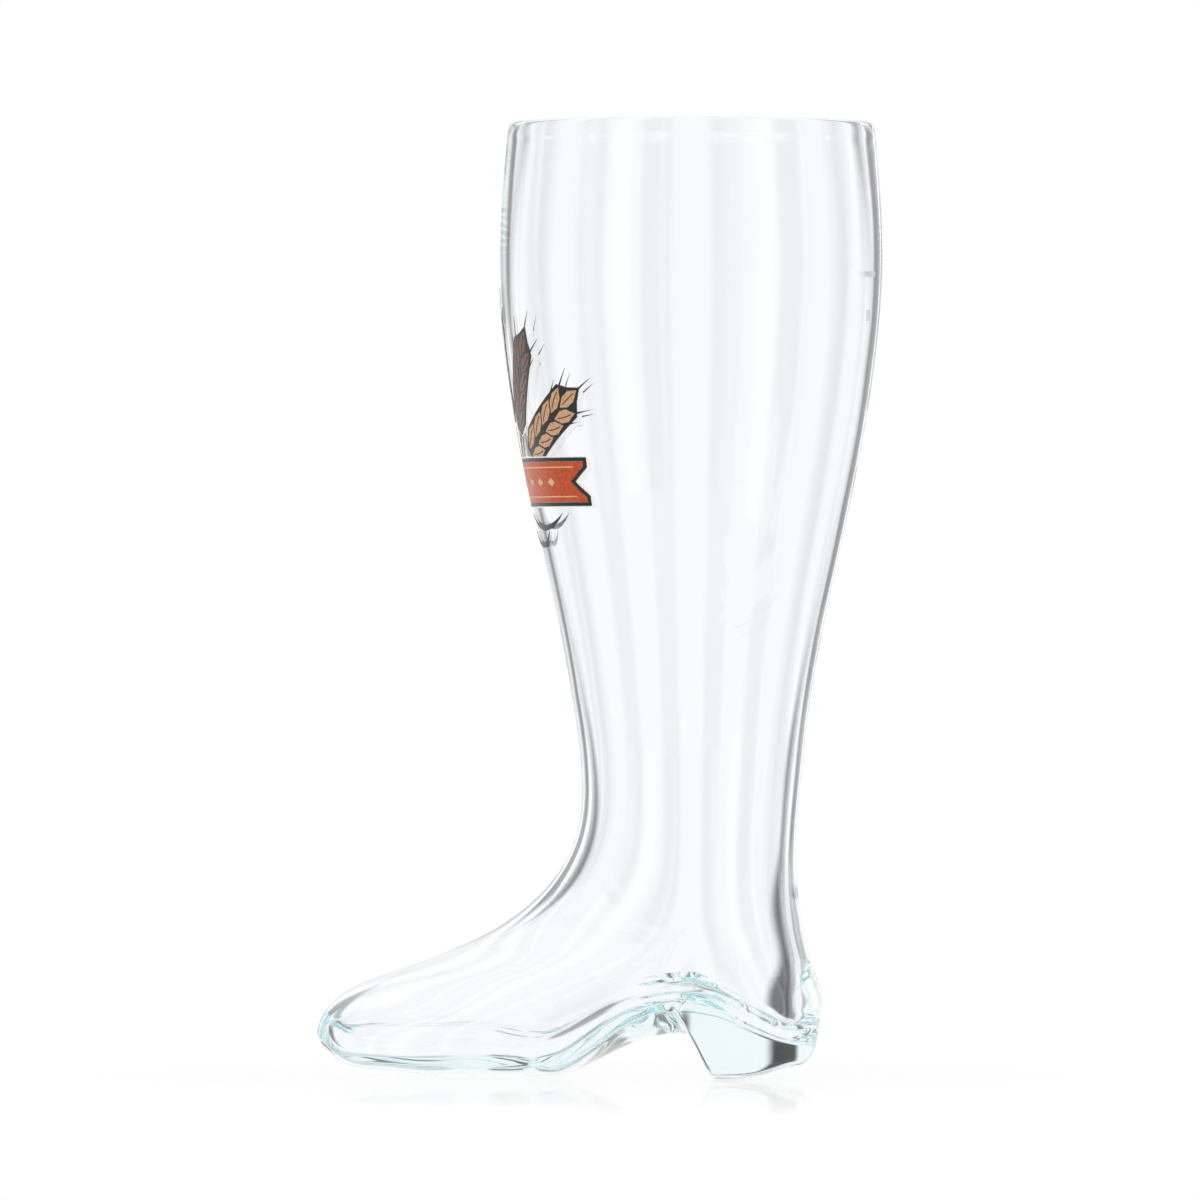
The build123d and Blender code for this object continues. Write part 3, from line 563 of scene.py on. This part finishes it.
# White panels around the object, seen through the glass. The gaps end at a lift above or below level.
PANEL_SPACING = math.radians(45)
PANEL_HALF_WIDTH = math.radians(10)
GAP_START = math.radians(16)
GAP_LEVEL = 0.05
GAP_TOP, GAP_TOP_FADE = 0.36, 0.2
# Rays that are reflected inside the glass see weaker gaps, which softens the streaks in the leg.
REFLECTED_GAP_SHARE = 0.85
PANEL_LEVEL = 1.0
PANEL_COLOUR = (0.955, 0.97, 1.0, 1.0)
# Bright strips, seen in the gloss: turn in degrees within each quarter, half width and strength
GLOSS_LEVEL = 0.75
GLOSS_PANEL_HALF_WIDTH = math.radians(5)
STRIPS = ((43.0, 12.0, 0.9), (18.0, 3.5, 0.9), (65.0, 8.0, 1.0))
# Even light on dull surfaces
EVEN_LEVEL = 1.0

# Soft lamps at the front, and a camera far off, because the photo is close to a flat side view
LAMP_SIZE = (1.2, 1.2)
LAMP_TARGET = (0.03, 0.0, 0.2)
CAMERA_DISTANCE, CAMERA_ASIDE, CAMERA_HEIGHT = 4.4, 0.0003, 0.167
VIEW_WIDTH, SENSOR_WIDTH, VIEW_DEPTH = 0.42, 36.0, 50.0


def floor_material():
    """White with the object's shadow, and a gloss that fades with the distance from the object.
    Rays through the glass pass it, so that the glass shows the white panels below it too."""
    material, tree, shader, output = new_material("pale_floor")
    tree.nodes.remove(shader)
    diffuse = tree.nodes.new("ShaderNodeBsdfDiffuse")
    diffuse.inputs["Color"].default_value = FLOOR_GREY
    glow = tree.nodes.new("ShaderNodeEmission")
    glow.inputs["Strength"].default_value = FLOOR_GLOW
    both = tree.nodes.new("ShaderNodeAddShader")
    tree.links.new(diffuse.outputs["BSDF"], both.inputs[0])
    tree.links.new(glow.outputs["Emission"], both.inputs[1])
    mirror = tree.nodes.new("ShaderNodeBsdfGlossy")
    mirror.inputs["Roughness"].default_value = FLOOR_ROUGHNESS
    place = tree.nodes.new("ShaderNodeTexCoord")
    distance = tree.nodes.new("ShaderNodeVectorMath")
    distance.operation = "LENGTH"
    tree.links.new(place.outputs["Object"], distance.inputs[0])
    share = tree.nodes.new("ShaderNodeMapRange")
    share.interpolation_type = "SMOOTHSTEP"
    share.inputs["From Min"].default_value = GLOSS_FADE_START
    share.inputs["From Max"].default_value = GLOSS_FADE_END
    share.inputs["To Min"].default_value = FLOOR_GLOSS
    share.inputs["To Max"].default_value = 0.0
    tree.links.new(distance.outputs["Value"], share.inputs["Value"])
    mix = tree.nodes.new("ShaderNodeMixShader")
    tree.links.new(share.outputs["Result"], mix.inputs["Fac"])
    tree.links.new(both.outputs["Shader"], mix.inputs[1])
    tree.links.new(mirror.outputs["BSDF"], mix.inputs[2])
    ray = tree.nodes.new("ShaderNodeLightPath")
    clear = tree.nodes.new("ShaderNodeBsdfTransparent")
    through = tree.nodes.new("ShaderNodeMixShader")
    tree.links.new(ray.outputs["Is Transmission Ray"], through.inputs["Fac"])
    tree.links.new(mix.outputs["Shader"], through.inputs[1])
    tree.links.new(clear.outputs["BSDF"], through.inputs[2])
    tree.links.new(through.outputs["Shader"], output.inputs["Surface"])
    return material


def make_floor():
    """A round table top. Past its edge the camera sees the same white."""
    angles = [2 * math.pi * k / FLOOR_STEPS for k in range(FLOOR_STEPS)]
    edge = [(FLOOR_RADIUS * math.cos(a), FLOOR_RADIUS * math.sin(a), 0.0) for a in angles]
    data = bpy.data.meshes.new("floor")
    data.from_pydata(edge, [], [tuple(range(FLOOR_STEPS))])
    floor = bpy.data.objects.new("floor", data)
    scene.collection.objects.link(floor)
    floor.location.z = -FLOOR_DROP
    data.materials.append(floor_material())
    floor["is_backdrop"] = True


def make_world():
    """White for the camera. Through the glass the world is a ring of white panels with dark gaps
    between them. In the gloss it is pale grey with bright upright strips. All else gets an even
    light."""
    world = bpy.data.worlds.new("studio")
    scene.world = world
    world.use_nodes = True
    tree = world.node_tree
    background = tree.nodes["Background"]

    def value(operation, *inputs):
        node = tree.nodes.new("ShaderNodeMath")
        node.operation = operation
        for socket, given in zip(node.inputs, inputs):
            if isinstance(given, (int, float)):
                socket.default_value = given
            else:
                tree.links.new(given, socket)
        return node.outputs["Value"]

    def ramp(given, low, high, at_low, at_high):
        node = tree.nodes.new("ShaderNodeMapRange")
        node.interpolation_type = "SMOOTHSTEP"
        sockets = ("From Min", "From Max", "To Min", "To Max")
        for name, number in zip(sockets, (low, high, at_low, at_high)):
            node.inputs[name].default_value = number
        tree.links.new(given, node.inputs["Value"])
        return node.outputs["Result"]

    # The ray's turn around the object, kept above zero, and its lift above or below level
    ray = tree.nodes.new("ShaderNodeLightPath")
    place = tree.nodes.new("ShaderNodeTexCoord")
    way = tree.nodes.new("ShaderNodeSeparateXYZ")
    tree.links.new(place.outputs["Generated"], way.inputs["Vector"])
    turn = value("ADD", value("ARCTAN2", way.outputs["X"], way.outputs["Y"]), 4 * math.pi)
    lift = value("ABSOLUTE", way.outputs["Z"])

    # Panels and gaps
    off_panel = value("PINGPONG", turn, PANEL_SPACING / 2)
    gap = ramp(off_panel, PANEL_HALF_WIDTH, GAP_START, 0.0, 1.0 - GAP_LEVEL)
    gap = value("MULTIPLY", gap, ramp(lift, GAP_TOP, GAP_TOP + GAP_TOP_FADE, 1.0, 0.0))
    reflected = ramp(ray.outputs["Glossy Depth"], 0.0, 1.0, 1.0, REFLECTED_GAP_SHARE)
    gap = value("MULTIPLY", gap, reflected)
    panels = value("SUBTRACT", PANEL_LEVEL, gap)

    # Strips in the gloss
    strips = ramp(off_panel, GLOSS_PANEL_HALF_WIDTH, PANEL_HALF_WIDTH, 1.0, GLOSS_LEVEL)
    around = value("MODULO", turn, math.pi / 2)
    for middle, half_width, strength in STRIPS:
        off_strip = value("ABSOLUTE", value("SUBTRACT", around, math.radians(middle)))
        strips = value("ADD", strips, ramp(off_strip, 0.0, math.radians(half_width), strength, 0.0))

    # Which of them a ray sees. After a dull surface it sees the even light.
    direct = value("LESS_THAN", ray.outputs["Diffuse Depth"], 0.5)
    through = value("MULTIPLY", ray.outputs["Is Transmission Ray"], direct)
    gloss = value("MULTIPLY", ray.outputs["Is Glossy Ray"], direct)
    gloss = value("MULTIPLY", gloss, value("SUBTRACT", 1.0, through))
    even = value("SUBTRACT", value("SUBTRACT", 1.0, through), gloss)
    level = value("ADD", value("MULTIPLY", panels, through), value("MULTIPLY", strips, gloss))
    level = value("ADD", level, value("MULTIPLY", even, EVEN_LEVEL))
    level = value("MAXIMUM", level, ray.outputs["Is Camera Ray"])
    tree.links.new(level, background.inputs["Strength"])
    cool = tree.nodes.new("ShaderNodeMix")
    cool.data_type = "RGBA"
    cool.inputs["A"].default_value = (1.0, 1.0, 1.0, 1.0)
    cool.inputs["B"].default_value = PANEL_COLOUR
    tree.links.new(through, cool.inputs["Factor"])
    tree.links.new(cool.outputs["Result"], background.inputs["Color"])


def area_lamp(name, place, power):
    """A soft lamp that isn't seen in the gloss or through the glass."""
    data = bpy.data.lights.new(name, "AREA")
    data.shape = "RECTANGLE"
    data.size, data.size_y = LAMP_SIZE
    data.energy = power
    lamp = bpy.data.objects.new(name, data)
    scene.collection.objects.link(lamp)
    lamp.location = place
    aim = Vector(LAMP_TARGET) - Vector(place)
    lamp.rotation_euler = aim.to_track_quat("-Z", "Y").to_euler()
    lamp.visible_glossy = False
    lamp.visible_transmission = False


def make_lamps():
    area_lamp("soft_left", (-1.9, -2.2, 1.9), 4.0)
    area_lamp("soft_right", (2.2, -1.6, 1.6), 2.0)


def make_camera():
    """A level camera on the side that the photo shows."""
    data = bpy.data.cameras.new("camera")
    data.sensor_width = SENSOR_WIDTH
    data.lens = SENSOR_WIDTH * CAMERA_DISTANCE / VIEW_WIDTH
    data.clip_end = VIEW_DEPTH
    camera = bpy.data.objects.new("camera", data)
    scene.collection.objects.link(camera)
    camera.location = (CAMERA_ASIDE, -CAMERA_DISTANCE, CAMERA_HEIGHT)
    camera.rotation_euler = (math.pi / 2, 0.0, 0.0)
    scene.camera = camera


# Pieces with their materials. Each ink has a colour, a darker tone and a roughness.
paint(glass_piece(), glass_material())
INKS = {
    "print_base": ((0.93, 0.92, 0.91), (0.87, 0.86, 0.85), 0.45),
    "print_tan": ((0.58, 0.34, 0.19), (0.46, 0.25, 0.13), 0.35),
    "print_brown": ((0.16, 0.085, 0.055), (0.10, 0.055, 0.04), 0.35),
    "print_orange": ((0.52, 0.075, 0.012), (0.36, 0.045, 0.01), 0.32),
    "print_rose": ((0.80, 0.56, 0.47), (0.72, 0.48, 0.40), 0.38),
    "print_black": ((0.016, 0.017, 0.022), (0.010, 0.010, 0.013), 0.32),
    "fill_mark": ((0.60, 0.61, 0.64), (0.52, 0.53, 0.56), 0.5),
}
for node_name, (colour, shade, roughness) in INKS.items():
    paint(nodes[node_name], ink_material(node_name + "_ink", colour, shade, roughness))

crease_ink = ink_material("crease_ink", (0.05, 0.03, 0.022), (0.03, 0.018, 0.014), 0.35)
pin_line_ink = ink_material("pin_line_ink", (0.72, 0.45, 0.22), (0.60, 0.36, 0.17), 0.35)
tally_ink = ink_material("tally_ink", *INKS["fill_mark"])
paint(grain_creases(), crease_ink)
paint(ribbon_lines(), pin_line_ink)
paint(capacity_tally(), tally_ink)

make_floor()
make_world()
make_lamps()
make_camera()

scene.view_settings.view_transform = "Standard"
# Light runs along inside the walls to the rim and the sole, with many reflections on the way.
BOUNCES = 128
scene.cycles.max_bounces = BOUNCES
scene.cycles.glossy_bounces = BOUNCES
scene.cycles.transmission_bounces = BOUNCES
# Light that reaches the print through the glass keeps its full strength.
scene.cycles.blur_glossy = 0.0
new_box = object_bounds()
boxes = {"cad": cad_box, "visual": new_box}
{name: [list(corner) for corner in box] for name, box in boxes.items()}
